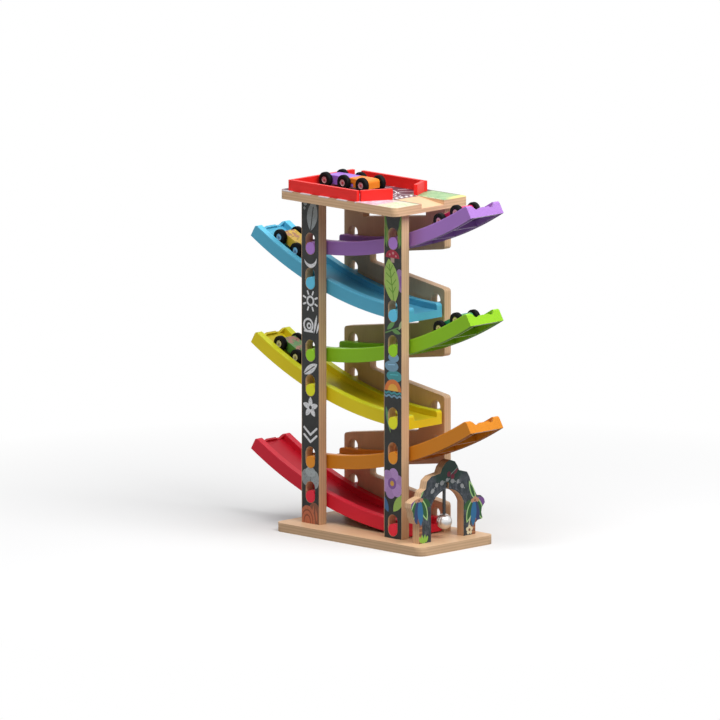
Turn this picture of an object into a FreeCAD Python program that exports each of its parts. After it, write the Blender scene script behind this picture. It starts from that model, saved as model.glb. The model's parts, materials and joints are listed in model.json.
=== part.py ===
# Toy car ramp. Six curved plastic troughs hang by round pegs in the slots of two front posts
# and a zigzag back panel. Below are a base board and a gate with a swinging steel ball, and
# on top is a fenced parking deck with a sloped exit. Five cars on turning wheels stand on it.
# Millimetres. X runs along the ramps, Y to the back, Z up from the middle of the base's underside.
import FreeCAD, Part
import os
import re
import Sketcher

os.makedirs("parts", exist_ok=True)

# Driving dimensions. Each is set by itself, and everything else is worked out from them.
SIZES = {
    "board_thick": 12,
    "tenon_width": 18,
    "tenon_length": 7,
    "base_length": 273,
    "base_width": 141,
    "base_corner": 12,
    "tower_shift": -17,
    "tower_height": 438,
    "post_width": 33,
    "post_thick": 14,
    "post_spread": 154,
    "post_setback": 25,
    "channel_width": 67,
    "deck_length": 215.5,
    "deck_width": 139.5,
    "deck_corner": 8,
    "deck_shift": -3.25,
    "groove_width": 42.4,
    "groove_length": 47.5,
    "groove_depth": 6,
    "level_pitch": 72.1,
    "first_gap": 2,
    "ramp_radius": 580,
    "ramp_sweep": 30.7,
    "ramp_width": 62,
    "ramp_reach": 91,
    "wall_height": 18.5,
    "wall_round": 4,
    "track_width": 43,
    "track_depth": 8.2,
    "skin": 2.4,
    "cross_rib": 1.8,
    "bay_count": 7,
    "stop_thick": 3.4,
    "stop_dip": 7.4,
    "stop_lobe": 5.6,
    "lobe_width": 18,
    "dip_width": 7,
    "lobe_slope": 2,
    "lobe_edge": 1,
    "peg_diameter": 16.5,
    "peg_play": 0.3,
    "lift_travel": 12,
    "notch_rise": 63.8,
    "notch_reach": 45.5,
    "notch_gap": 12.5,
    "notch_slope": 8.5,
    "notch_round": 3.5,
    "panel_round": 5,
    "top_notch_left": 58,
    "top_notch_right": 58.5,
    "top_notch_deep": 31,
    "top_notch_slope": 7.2,
    "fence_height": 14.5,
    "fence_thick": 5,
    "fence_side_margin": 13.9,
    "fence_front_margin": 3.25,
    "fence_back_margin": 11.75,
    "fence_left_length": 121,
    "fence_front_inset": 73.6,
    "fence_back_start": 18,
    "fence_back_inset": 65.1,
    "funnel_gap": 3,
    "funnel_mouth": 46,
    "funnel_margin": 51.5,
    "gate_margin": 22.8,
    "gate_centre": 3,
    "gate_opening": 61.5,
    "gate_spring": 47,
    "gate_rise": 20,
    "gate_leg": 22.5,
    "gate_height": 106,
    "gate_round": 1.6,
    "ball_diameter": 21,
    "ball_centre_height": 23,
    "rod_diameter": 4.4,
    "eye_thick": 5,
    "eye_diameter": 8,
    "eye_play": 0.3,
    "pin_diameter": 3,
    "pin_play": 0.05,
    "pin_length": 24,
    "pin_rise": 5,
    "wheel_diameter": 20.6,
    "wheel_width": 6.8,
    "wheel_play": 0.3,
    "wheel_base": 34,
    "axle_diameter": 4,
    "axle_play": 0.08,
    "body_width": 24,
    "body_gap": 0.6,
    "body_height": 17,
    "body_floor": 4.5,
    "body_overhang": 5,
    "tail_slope": 2.5,
    "bonnet_start": 11,
    "bonnet_end": 1.5,
    "bonnet_drop": 4.5,
    "bumper_rise": 3,
    "car_place": 149.1,
    "long_car_rear": 4,
    "long_car_nose": 6,
    "long_car_start": 17.9,
    "nose_round": 4,
    "nose_drop": 1,
    "nose_start": 8,
    "lap_back": 5,
    "lap_front": 12,
    "lap_depth": 4.5,
    "lap_play": 0.2,
}

# Places that follow from the driving dimensions, as formulas in their own sheet.
PLACES = {
    "base_top": "board_thick",
    "deck_under": "base_top + tower_height",
    "deck_top": "deck_under + board_thick",
    "post_front": "post_setback - base_width / 2",
    "post_back": "post_front + post_thick",
    "channel_y": "post_back + channel_width / 2",
    "panel_front": "post_back + channel_width",
    "panel_length": "post_spread + post_width",
    "low_peg_x": "ramp_reach - post_spread / 2",
    "high_peg_x": "ramp_reach + post_spread / 2",
    "peg_radius": "ramp_radius - wall_height / 2",
    "low_peg_z": "ramp_radius - sqrt(peg_radius ^ 2 - low_peg_x ^ 2)",
    "high_peg_z": "ramp_radius - sqrt(peg_radius ^ 2 - high_peg_x ^ 2)",
    "slot_radius": "peg_diameter / 2 + peg_play",
    "floor_height": "wall_height - track_depth",
    "stop_angle": "stop_thick / ramp_radius * 180 / pi",
    "rib_angle": "cross_rib / ramp_radius * 180 / pi",
    "end_angle": "skin / ramp_radius * 180 / pi",
    "bay_angle": "(ramp_sweep - end_angle - stop_angle - (bay_count - 1) * rib_angle) / bay_count",
    "peg_length": "channel_width + post_thick + board_thick",
    "deck_middle": "tower_shift + deck_shift",
    "deck_left": "deck_middle - deck_length / 2",
    "deck_right": "deck_middle + deck_length / 2",
    "fence_left_x": "deck_left + fence_side_margin",
    "fence_front_length": "deck_right - fence_front_inset - fence_left_x",
    "fence_back_length": "deck_right - fence_back_inset - fence_left_x - fence_back_start",
    "fence_front_y": "fence_front_margin - deck_width / 2",
    "fence_back_y": "deck_width / 2 - fence_back_margin",
    "funnel_end": "deck_right - funnel_margin",
    "gate_face": "base_length / 2 - gate_margin",
    "gate_middle": "gate_face - board_thick / 2",
    "gate_half": "gate_opening / 2 + gate_leg",
    "arch_top": "gate_spring + gate_rise",
    "arch_radius": "((gate_opening / 2) ^ 2 + gate_rise ^ 2) / (2 * gate_rise)",
    "pin_height": "arch_top + pin_rise",
    "eye_slot": "eye_thick + 2 * eye_play",
    "ball_flat": "sqrt((ball_diameter / 2) ^ 2 - (rod_diameter / 2) ^ 2)",
    "ball_height": "base_top + ball_centre_height",
    "pin_z": "base_top + pin_height",
    "track_radius": "ramp_radius - floor_height - wheel_play",
    "wheel_inside": "body_width / 2 + body_gap",
    "hub_radius": "track_radius - wheel_diameter / 2",
    "car_angle": "asin((ramp_reach + car_place) / hub_radius)",
    "car_radius": "sqrt(hub_radius ^ 2 - (wheel_base / 2) ^ 2) + wheel_diameter / 2",
    "long_rear_axle": "fence_left_x + long_car_start",
}

PI = 3.141592653589793
X_AXIS = FreeCAD.Vector(1, 0, 0)
Y_AXIS = FreeCAD.Vector(0, 1, 0)
Z_AXIS = FreeCAD.Vector(0, 0, 1)
ALONG_Y = FreeCAD.Rotation(X_AXIS, -90)
# How far a cutting sketch reaches past the solid that it cuts, and half an axis line's length.
PAST = 3
AXIS_HALF = 10
NEAR = 0.01
# From the lowest trough to the highest, with the car that stands on it.
TROUGHS = (
    ("red_ramp", None), ("orange_ramp", None), ("yellow_ramp", "green_car"),
    ("green_ramp", "teal_car"), ("blue_ramp", "yellow_car"), ("purple_ramp", "red_car"),
)
# The gate's outline above its legs, from the near leg over the crag to the far one: how far out
# and how high each corner is, as shares of half the gate's width and of its height.
CRAG = (
    (-1.00, 0.25), (-1.12, 0.26), (-1.20, 0.34), (-1.22, 0.41), (-1.29, 0.47), (-1.28, 0.53), (-1.13, 0.57),
    (-0.95, 0.59), (-0.91, 0.65), (-0.77, 0.68), (-0.72, 0.78), (-0.56, 0.83), (-0.24, 0.85), (-0.17, 0.92),
    (-0.04, 0.98), (0.10, 1.00), (0.27, 0.97), (0.36, 0.91), (0.42, 0.85), (0.70, 0.81), (0.79, 0.74),
    (0.83, 0.68), (0.94, 0.59), (1.05, 0.49), (1.19, 0.48), (1.31, 0.43), (1.34, 0.38), (1.23, 0.32),
    (1.21, 0.26), (1.26, 0.18), (1.08, 0.17), (1.00, 0.14),
)
PIECES = []

doc = FreeCAD.newDocument("CarRamp")
sizes = doc.addObject("Spreadsheet::Sheet", "Sizes")
places = doc.addObject("Spreadsheet::Sheet", "Places")
trial = doc.addObject("Spreadsheet::Sheet", "Trial")
WORD = re.compile(r"[a-z]\w*")


def bound(formula):
    """The formula with each size and place named by its sheet."""
    def sheet_name(match):
        word = match.group(0)
        if word in SIZES:
            return "Sizes." + word
        if word in PLACES:
            return "Places." + word
        return word
    return WORD.sub(sheet_name, str(formula))


def number(formula):
    """What a formula comes to now, which gives a sketch its first shape."""
    trial.set("A1", "=" + bound(formula))
    trial.recompute()
    return float(trial.get("A1"))


def fill_sheets():
    for row, (name, size) in enumerate(SIZES.items(), start=1):
        sizes.set(f"A{row}", name)
        sizes.set(f"B{row}", str(size))
        sizes.setAlias(f"B{row}", name)
    sizes.recompute()
    for row, (name, formula) in enumerate(PLACES.items(), start=1):
        places.set(f"A{row}", name)
        places.set(f"B{row}", "=" + bound(formula))
        places.setAlias(f"B{row}", name)
        places.recompute()


def bind(thing, **formulas):
    """Ties properties to formulas. Double underscores stand for dots, as in Placement__Base__x."""
    for path, formula in formulas.items():
        thing.setExpression(path.replace("__", "."), bound(formula))


def place(thing, x="0", y="0", z="0", turn=None, axis=(0, 0, 1)):
    """Puts a piece at x, y, z, turned about an axis through its own origin."""
    bind(thing, Placement__Base__x=x, Placement__Base__y=y, Placement__Base__z=z)
    if turn is not None:
        thing.Placement.Rotation = FreeCAD.Rotation(FreeCAD.Vector(*axis), 0)
        bind(thing, Placement__Rotation__Axis__x=axis[0])
        bind(thing, Placement__Rotation__Axis__y=axis[1])
        bind(thing, Placement__Rotation__Axis__z=axis[2])
        bind(thing, Placement__Rotation__Angle=turn)


def sketch_on(piece, role, name):
    """A sketch on one of the body's own origin planes."""
    sketch = piece.newObject("Sketcher::SketchObject", f"{piece.Name}_{name}")
    base_plane = next(f for f in piece.Origin.OriginFeatures if f.Role == role)
    sketch.AttachmentSupport = [(base_plane, "")]
    sketch.MapMode = "FlatFace"
    return sketch


def fix_point(sketch, line, end, x, y):
    """Holds one end of a line, or a centre, at x, y from the sketch's origin."""
    for kind, formula in (("DistanceX", x), ("DistanceY", y)):
        rule = sketch.addConstraint(Sketcher.Constraint(kind, -1, 1, line, end, number(formula)))
        sketch.setExpression(f"Constraints[{rule}]", bound(formula))


def fix_radius(sketch, curve, radius):
    rule = sketch.addConstraint(Sketcher.Constraint("Radius", curve, number(radius)))
    sketch.setExpression(f"Constraints[{rule}]", bound(radius))


def draw_outline(sketch, points):
    """A closed outline of straight lines through the points."""
    spots = [FreeCAD.Vector(number(x), number(y), 0) for x, y in points]
    lines = []
    for start, end in zip(spots, spots[1:] + spots[:1]):
        lines.append(sketch.addGeometry(Part.LineSegment(start, end), False))
    for line, following in zip(lines, lines[1:] + lines[:1]):
        sketch.addConstraint(Sketcher.Constraint("Coincident", line, 2, following, 1))
    for line, (x, y) in zip(lines, points):
        fix_point(sketch, line, 1, x, y)


def draw_rectangle(sketch, left, right, low, high):
    draw_outline(sketch, [(left, low), (right, low), (right, high), (left, high)])


def draw_disc(sketch, x, y, radius):
    centre = FreeCAD.Vector(number(x), number(y), 0)
    curve = sketch.addGeometry(Part.Circle(centre, FreeCAD.Vector(0, 0, 1), number(radius)), False)
    fix_point(sketch, curve, 3, x, y)
    fix_radius(sketch, curve, radius)


def draw_slot(sketch, x, low, radius, travel):
    """An upright slot with round ends, from the centre of its lower end."""
    high = f"{low} + {travel}"
    across = number(radius)
    centre_low = FreeCAD.Vector(number(x), number(low), 0)
    centre_high = FreeCAD.Vector(number(x), number(high), 0)
    half = FreeCAD.Vector(across, 0, 0)
    normal = FreeCAD.Vector(0, 0, 1)
    bottom = sketch.addGeometry(Part.ArcOfCircle(Part.Circle(centre_low, normal, across), PI, 2 * PI), False)
    top = sketch.addGeometry(Part.ArcOfCircle(Part.Circle(centre_high, normal, across), 0, PI), False)
    right = sketch.addGeometry(Part.LineSegment(centre_low + half, centre_high + half), False)
    left = sketch.addGeometry(Part.LineSegment(centre_high - half, centre_low - half), False)
    for first, second in ((bottom, right), (right, top), (top, left), (left, bottom)):
        sketch.addConstraint(Sketcher.Constraint("Tangent", first, 2, second, 1))
    sketch.addConstraint(Sketcher.Constraint("Equal", bottom, top))
    fix_point(sketch, bottom, 3, x, low)
    fix_point(sketch, top, 3, x, high)
    fix_radius(sketch, bottom, radius)


def add_pad(piece, sketch, length, middle=False, back=False):
    pad = piece.newObject("PartDesign::Pad", f"{sketch.Name}_pad")
    pad.Profile = sketch
    pad.Midplane = middle
    pad.Reversed = back
    bind(pad, Length=length)
    sketch.Visibility = False
    return pad


def add_pocket(piece, sketch, length, middle=False, back=False):
    pocket = piece.newObject("PartDesign::Pocket", f"{sketch.Name}_pocket")
    pocket.Profile = sketch
    pocket.Midplane = middle
    pocket.Reversed = back
    bind(pocket, Length=length)
    return pocket


def along(edge, axis):
    """True where a straight edge runs along the axis."""
    if not isinstance(edge.Curve, (Part.Line, Part.LineSegment)):
        return False
    way = edge.tangentAt(edge.FirstParameter)
    return abs(abs(way.dot(axis)) - 1) < 1e-6


def round_edges(piece, feature, radius, axis, wanted):
    """Rounds the straight edges along an axis whose middle passes the test."""
    doc.recompute()
    names = []
    for index, edge in enumerate(feature.Shape.Edges, start=1):
        if along(edge, axis) and wanted(edge.CenterOfMass):
            names.append(f"Edge{index}")
    fillet = piece.newObject("PartDesign::Fillet", f"{feature.Name}_round")
    fillet.Base = (feature, names)
    bind(fillet, Radius=radius)
    return fillet


def new_piece(label, kind="PartDesign::Body"):
    piece = doc.addObject(kind, label)
    piece.Label = label
    PIECES.append(piece)
    return piece


def cylinder(name, radius, length, x="0", y="0", z="0", lying=False):
    """A cylinder along Z, or along Y from y where it lies."""
    round_bar = doc.addObject("Part::Cylinder", name)
    bind(round_bar, Radius=radius, Height=length)
    place(round_bar, x, y, z)
    if lying:
        round_bar.Placement.Rotation = ALONG_Y
    return round_bar


def tenon_outline(half, height, tenons):
    """Corners of an upright board with tenons at the given places on its lower and upper edges."""
    points = [(f"-({half})", "0")]
    for middle in tenons:
        left = f"{middle} - tenon_width / 2"
        right = f"{middle} + tenon_width / 2"
        points += [(left, "0"), (left, "-tenon_length"), (right, "-tenon_length"), (right, "0")]
    points += [(half, "0"), (half, height)]
    high = f"{height} + tenon_length"
    for middle in reversed(tenons):
        left = f"{middle} - tenon_width / 2"
        right = f"{middle} + tenon_width / 2"
        points += [(right, height), (right, high), (left, high), (left, height)]
    return points + [(f"-({half})", height)]


def draw_tower_mortises(sketch, shift):
    """Mortises for the tenons of both posts and of the panel, in a board's own frame."""
    for side in (-1, 1):
        for front, back in (("post_front", "post_back"), ("panel_front", "panel_front + board_thick")):
            middle = f"{shift} + {side} * post_spread / 2"
            draw_rectangle(sketch, f"{middle} - tenon_width / 2", f"{middle} + tenon_width / 2", front, back)


def base_board():
    """Base board with rounded corners and blind mortises for the uprights and the gate."""
    board = new_piece("base_board")
    outline = sketch_on(board, "XY_Plane", "outline")
    draw_rectangle(outline, "-base_length / 2", "base_length / 2", "-base_width / 2", "base_width / 2")
    pad = add_pad(board, outline, "board_thick")
    round_edges(board, pad, "base_corner", Z_AXIS, lambda spot: True)
    mortises = sketch_on(board, "XY_Plane", "mortises")
    bind(mortises, AttachmentOffset__Base__z="board_thick")
    draw_tower_mortises(mortises, "tower_shift")
    for side in (-1, 1):
        middle = f"gate_centre + {side} * (gate_opening + gate_leg) / 2"
        draw_rectangle(mortises, "gate_face - board_thick", "gate_face",
                       f"{middle} - tenon_width / 2", f"{middle} + tenon_width / 2")
    add_pocket(board, mortises, "tenon_length")


def peg_height(level, high):
    """How far above the base top the peg of a level hangs, at its high or its low end."""
    return f"first_gap + {level} * level_pitch + " + ("high_peg_z" if high else "low_peg_z")


def draw_peg_slots(sketch, side, x):
    """The six slots of one column. Even levels are high on the left, odd ones on the right."""
    for level in range(len(TROUGHS)):
        high = (side < 0) == (level % 2 == 0)
        draw_slot(sketch, x, peg_height(level, high), "slot_radius", "lift_travel")


def front_post(label, side):
    """Front post with a slot for each trough's peg and a tenon at each end."""
    post = new_piece(label)
    place(post, f"tower_shift + {side} * post_spread / 2", "post_front", "base_top")
    outline = sketch_on(post, "XZ_Plane", "outline")
    draw_outline(outline, tenon_outline("post_width / 2", "tower_height", ["0"]))
    add_pad(post, outline, "post_thick", back=True)
    slots = sketch_on(post, "XZ_Plane", "slots")
    draw_peg_slots(slots, side, "0")
    add_pocket(post, slots, "post_thick")


def notch_corners(side, level):
    """Corners of the wedge cut out beside the space between one trough and the next."""
    apex_x = f"-{side} * notch_reach"
    mouth_x = f"{side} * (panel_length / 2 + {PAST})"
    middle = f"first_gap + {level} * level_pitch + notch_rise"
    widening = f"(notch_reach + panel_length / 2 + {PAST}) * tan(notch_slope)"
    return [
        (mouth_x, f"{middle} - notch_gap / 2 - {widening}"),
        (mouth_x, f"{middle} + notch_gap / 2 + {widening}"),
        (apex_x, f"{middle} + notch_gap / 2"),
        (apex_x, f"{middle} - notch_gap / 2"),
    ]


def back_panel():
    """Zigzag panel: wedges cut from alternate sides leave a band that follows the troughs."""
    panel = new_piece("back_panel")
    place(panel, "tower_shift", "panel_front", "base_top")
    outline = sketch_on(panel, "XZ_Plane", "outline")
    tenons = ["-post_spread / 2", "post_spread / 2"]
    draw_outline(outline, tenon_outline("panel_length / 2", "tower_height", tenons))
    add_pad(panel, outline, "board_thick", back=True)
    notches = sketch_on(panel, "XZ_Plane", "notches")
    for level in range(len(TROUGHS) - 1):
        draw_outline(notches, notch_corners(1 if level % 2 == 0 else -1, level))
    rise = "(top_notch_left + top_notch_right) * tan(top_notch_slope)"
    draw_outline(notches, [
        ("-top_notch_left", "tower_height - top_notch_deep"),
        ("top_notch_right", f"tower_height - top_notch_deep + {rise}"),
        ("top_notch_right", f"tower_height + {PAST}"),
        ("-top_notch_left", f"tower_height + {PAST}"),
    ])
    cut = add_pocket(panel, notches, "board_thick")
    reach = number("notch_reach")
    half = number("panel_length / 2")
    foot = number("panel_round")
    top = number("tower_height") - foot

    def inner(spot):
        return abs(abs(spot.x) - reach) < NEAR and foot < spot.z < top

    def outer(spot):
        return abs(abs(spot.x) - half) < NEAR and foot < spot.z < top
    apexes = round_edges(panel, cut, "notch_round", Y_AXIS, inner)
    round_edges(panel, apexes, "panel_round", Y_AXIS, outer)
    slots = sketch_on(panel, "XZ_Plane", "slots")
    for side in (-1, 1):
        draw_peg_slots(slots, side, f"{side} * post_spread / 2")
    add_pocket(panel, slots, "board_thick")


def top_deck():
    """Parking deck with a sloped exit cut into its right edge and mortises below."""
    deck = new_piece("top_deck")
    place(deck, "deck_middle", "0", "deck_under")
    outline = sketch_on(deck, "XY_Plane", "outline")
    draw_rectangle(outline, "-deck_length / 2", "deck_length / 2", "-deck_width / 2", "deck_width / 2")
    pad = add_pad(deck, outline, "board_thick")
    round_edges(deck, pad, "deck_corner", Z_AXIS, lambda spot: True)
    groove = sketch_on(deck, "XZ_Plane", "groove")
    bind(groove, AttachmentOffset__Base__z="-channel_y")
    draw_outline(groove, [
        ("deck_length / 2 - groove_length", "board_thick"),
        (f"deck_length / 2 + {PAST}", f"board_thick - groove_depth * (1 + {PAST} / groove_length)"),
        (f"deck_length / 2 + {PAST}", f"board_thick + {PAST}"),
        ("deck_length / 2 - groove_length", f"board_thick + {PAST}"),
    ])
    add_pocket(deck, groove, "groove_width", middle=True)
    mortises = sketch_on(deck, "XY_Plane", "mortises")
    draw_tower_mortises(mortises, "-deck_shift")
    add_pocket(deck, mortises, "tenon_length", back=True)


def fence(label, length, x, y, turn, inner_side):
    """A straight fence, from its first end along its length, thick to one side of its outer face."""
    rail = new_piece(label, "Part::Box")
    bind(rail, Length=length, Width="fence_thick", Height="fence_height")
    if inner_side < 0:
        x = f"{x} + fence_thick * sin({turn})"
        y = f"{y} - fence_thick * cos({turn})"
    place(rail, x, y, "deck_top", turn)


def deck_fences():
    """Three fences round the deck, and two slanted ones that lead the cars to the exit."""
    mouth_front = "channel_y - funnel_mouth / 2"
    mouth_back = "channel_y + funnel_mouth / 2"
    straight = "fence_front_length - fence_thick"
    front_x = "fence_left_x + fence_front_length + funnel_gap"
    back_x = "fence_left_x + fence_back_start + fence_back_length"
    front_inner = "fence_front_y + fence_thick"
    back_inner = "fence_back_y - fence_thick"
    fence("fence_left", "fence_left_length", "fence_left_x", "fence_front_y", "90", -1)
    fence("fence_front", straight, "fence_left_x + fence_thick", "fence_front_y", "0", 1)
    fence("fence_back", "fence_back_length", "fence_left_x + fence_back_start", "fence_back_y", "0", -1)
    front_run = f"(funnel_end - ({front_x}))"
    front_rise = f"({mouth_front} - ({front_inner}))"
    front_turn = f"atan2({front_rise}; {front_run})"
    front_length = f"sqrt({front_run} ^ 2 + {front_rise} ^ 2)"
    fence("funnel_front", front_length, front_x, front_inner, front_turn, 1)
    back_run = f"(funnel_end - ({back_x}))"
    back_rise = f"({mouth_back} - ({back_inner}))"
    back_turn = f"atan2({back_rise}; {back_run})"
    back_length = f"sqrt({back_run} ^ 2 + {back_rise} ^ 2)"
    fence("funnel_back", back_length, back_x, back_inner, back_turn, -1)


def arc_sketch(piece, name, angle):
    """A cross-section sketch, swung up the trough's arc by an angle from its low end."""
    sketch = sketch_on(piece, "YZ_Plane", name)
    sketch.AttachmentOffset = FreeCAD.Placement(FreeCAD.Vector(), FreeCAD.Rotation(X_AXIS, 1))
    bind(sketch, AttachmentOffset__Base__y=f"ramp_radius * (1 - cos({angle} * 1 deg))")
    bind(sketch, AttachmentOffset__Base__z=f"-ramp_radius * sin({angle} * 1 deg)")
    bind(sketch, AttachmentOffset__Rotation__Angle=angle)
    return sketch


def add_arc_axis(sketch):
    """The arc's own axis, as the sketch's construction line at the arc's centre."""
    height = number("ramp_radius")
    start = FreeCAD.Vector(-AXIS_HALF, height, 0)
    end = FreeCAD.Vector(AXIS_HALF, height, 0)
    line = sketch.addGeometry(Part.LineSegment(start, end), True)
    fix_point(sketch, line, 1, f"-{AXIS_HALF}", "ramp_radius")
    fix_point(sketch, line, 2, f"{AXIS_HALF}", "ramp_radius")


def sweep_section(piece, sketch, angle, cut=True):
    """Swings a section up the arc, as a cut or as solid."""
    add_arc_axis(sketch)
    kind = "Groove" if cut else "Revolution"
    feature = piece.newObject(f"PartDesign::{kind}", f"{sketch.Name}_swing")
    feature.Profile = sketch
    feature.ReferenceAxis = (sketch, ["Axis0"])
    feature.Reversed = False
    bind(feature, Angle=angle)
    return feature


def ramp(label, level):
    """Curved trough, open at its low end, with thick hollow walls and ribs below its floor."""
    trough = new_piece(label)
    side = 1 if level % 2 == 0 else -1
    turn = "0" if side > 0 else "180"
    place(trough, f"tower_shift + {side} * ramp_reach", "channel_y",
          f"base_top + first_gap + {level} * level_pitch", turn)
    half = "ramp_width / 2"
    section = arc_sketch(trough, "section", "0")
    draw_rectangle(section, f"-{half}", half, "0", "wall_height")
    band = sweep_section(trough, section, "ramp_sweep", cut=False)
    doc.recompute()
    crest = number("wall_height")
    far_height = max(vertex.Z for vertex in band.Shape.Vertexes)
    round_edges(trough, band, "wall_round", Y_AXIS,
                lambda spot: abs(spot.z - crest) < NEAR or abs(spot.z - far_height) < NEAR)
    pegs = sketch_on(trough, "XZ_Plane", "pegs")
    bind(pegs, AttachmentOffset__Base__z=f"{side} * (post_thick - board_thick) / 2")
    draw_disc(pegs, "-low_peg_x", "low_peg_z", "peg_diameter / 2")
    draw_disc(pegs, "-high_peg_x", "high_peg_z", "peg_diameter / 2")
    add_pad(trough, pegs, "peg_length", middle=True)
    track = arc_sketch(trough, "track", "0")
    draw_rectangle(track, "-track_width / 2", "track_width / 2", "floor_height", f"wall_height + {PAST}")
    sweep_section(trough, track, "ramp_sweep - stop_angle")
    stop = arc_sketch(trough, "stop", "(ramp_sweep - stop_angle)")
    dip = "wall_height - stop_dip"
    lobe = "wall_height - stop_lobe"
    shoulder = "lobe_width / 2 + dip_width"
    draw_outline(stop, [
        ("-track_width / 2", "wall_height - lobe_edge"), (f"-({shoulder})", dip),
        ("-lobe_width / 2 - lobe_slope", dip), ("-lobe_width / 2", lobe),
        ("lobe_width / 2", lobe), ("lobe_width / 2 + lobe_slope", dip),
        (shoulder, dip), ("track_width / 2", "wall_height - lobe_edge"),
        ("track_width / 2", f"wall_height + {PAST}"), ("-track_width / 2", f"wall_height + {PAST}"),
    ])
    sweep_section(trough, stop, "2 * stop_angle")
    hollows = arc_sketch(trough, "hollows", "end_angle")
    inner = "track_width / 2 + skin"
    outer = "ramp_width / 2 - skin"
    draw_rectangle(hollows, inner, outer, f"-{PAST}", "wall_height - skin")
    draw_rectangle(hollows, f"-({outer})", f"-({inner})", f"-{PAST}", "wall_height - skin")
    sweep_section(trough, hollows, "ramp_sweep - 2 * end_angle")
    bay = arc_sketch(trough, "bay", "end_angle")
    draw_rectangle(bay, "-track_width / 2", "track_width / 2", f"-{PAST}", "floor_height - skin")
    first_bay = sweep_section(trough, bay, "bay_angle")
    bays = trough.newObject("PartDesign::PolarPattern", f"{label}_bays")
    bays.Originals = [first_bay]
    bays.Axis = (bay, ["Axis0"])
    bind(bays, Occurrences="bay_count", Angle="(bay_count - 1) * (bay_angle + rib_angle)")
    trough.Tip = bays
    return trough


def gate_outline():
    """The gate's outline, from the near leg's tenon to the far leg's and over the crag."""
    middle = "(gate_opening + gate_leg) / 2"
    points = []
    for side in (-1, 1):
        for edge, height in ((-1, "0"), (-1, "-tenon_length"), (1, "-tenon_length"), (1, "0")):
            points.append((f"{side} * {middle} + {edge} * tenon_width / 2", height))
    points.append(("gate_half", "0"))
    for out, up in reversed(CRAG):
        points.append((f"{out} * gate_half", f"{up} * gate_height"))
    return points + [("-gate_half", "0")]


def draw_arch(sketch):
    """The opening: upright sides and a low arc between them."""
    half = number("gate_opening / 2")
    spring = number("gate_spring")
    crown = number("arch_top")
    ends = ((-half, spring), (-half, -PAST), (half, -PAST), (half, spring))
    corners = [FreeCAD.Vector(x, y, 0) for x, y in ends]
    sides = [sketch.addGeometry(Part.LineSegment(corners[i], corners[i + 1]), False) for i in range(3)]
    arc = sketch.addGeometry(Part.Arc(corners[3], FreeCAD.Vector(0, crown, 0), corners[0]), False)
    for first, second in ((sides[0], sides[1]), (sides[1], sides[2])):
        sketch.addConstraint(Sketcher.Constraint("Coincident", first, 2, second, 1))
    sketch.addConstraint(Sketcher.Constraint("Coincident", sides[2], 2, arc, 1))
    sketch.addConstraint(Sketcher.Constraint("Coincident", sides[0], 1, arc, 2))
    fix_point(sketch, sides[0], 1, "-gate_opening / 2", "gate_spring")
    fix_point(sketch, sides[1], 1, "-gate_opening / 2", f"-{PAST}")
    fix_point(sketch, sides[1], 2, "gate_opening / 2", f"-{PAST}")
    fix_point(sketch, sides[2], 2, "gate_opening / 2", "gate_spring")
    fix_radius(sketch, arc, "arch_radius")


def gate_arch():
    """Gate across the foot of the last trough, with a slot in its crown where the ball hangs."""
    gate = new_piece("gate_arch")
    place(gate, "gate_face - board_thick", "gate_centre", "base_top")
    outline = sketch_on(gate, "YZ_Plane", "outline")
    draw_outline(outline, gate_outline())
    pad = add_pad(gate, outline, "board_thick")
    round_edges(gate, pad, "gate_round", X_AXIS, lambda spot: spot.z > NEAR)
    opening = sketch_on(gate, "YZ_Plane", "opening")
    draw_arch(opening)
    add_pocket(gate, opening, "board_thick", back=True)
    slot = sketch_on(gate, "YZ_Plane", "slot")
    slot_top = "pin_height + eye_diameter / 2 + eye_play"
    draw_rectangle(slot, "-eye_slot / 2", "eye_slot / 2", "gate_spring", slot_top)
    add_pocket(gate, slot, "board_thick", back=True)
    seat = sketch_on(gate, "YZ_Plane", "pin_seat")
    draw_rectangle(seat, "-pin_length / 2", "pin_length / 2",
                   "pin_height - pin_diameter / 2", "pin_height + pin_diameter / 2")
    add_pocket(gate, seat, "(board_thick + pin_diameter) / 2", back=True)


def swinging_ball():
    """Steel ball on a rod whose eye turns on a pin across the crown of the gate."""
    pin = new_piece("ball_pin", "Part::Cylinder")
    bind(pin, Radius="pin_diameter / 2", Height="pin_length")
    place(pin, "gate_middle", "gate_centre - pin_length / 2", "pin_z")
    pin.Placement.Rotation = ALONG_Y
    joined = doc.addObject("Part::Fuse", "rod_and_eye")
    joined.Base = cylinder("rod", "rod_diameter / 2", "pin_z - ball_height - ball_flat",
                           "gate_middle", "gate_centre", "ball_height + ball_flat")
    joined.Tool = cylinder("eye", "eye_diameter / 2", "eye_thick",
                           "gate_middle", "gate_centre - eye_thick / 2", "pin_z", lying=True)
    hanger = new_piece("ball_rod", "Part::Cut")
    hanger.Base = joined
    hanger.Tool = cylinder("eye_bore", "pin_diameter / 2 + pin_play", "2 * eye_thick",
                           "gate_middle", "gate_centre - eye_thick", "pin_z", lying=True)
    ball = new_piece("steel_ball", "Part::Sphere")
    bind(ball, Radius="ball_diameter / 2", Angle2="acos(rod_diameter / ball_diameter)")
    place(ball, "gate_middle", "gate_centre", "ball_height")


def on_ramp(thing, level):
    """Puts a thing made about a car's middle, on the ground, up on the trough of a level."""
    side = 1 if level % 2 == 0 else -1
    place(
        thing,
        f"tower_shift + {side} * (ramp_reach - car_radius * sin(car_angle))",
        "channel_y",
        f"base_top + first_gap + {level} * level_pitch + ramp_radius - car_radius * cos(car_angle)",
        f"{side} * car_angle",
        (0, 1, 0),
    )


def on_deck(thing):
    """Puts a thing made about the long car's rear axle, on the ground, on the deck."""
    place(thing, "long_rear_axle", "channel_y", "deck_top + wheel_play")


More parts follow.
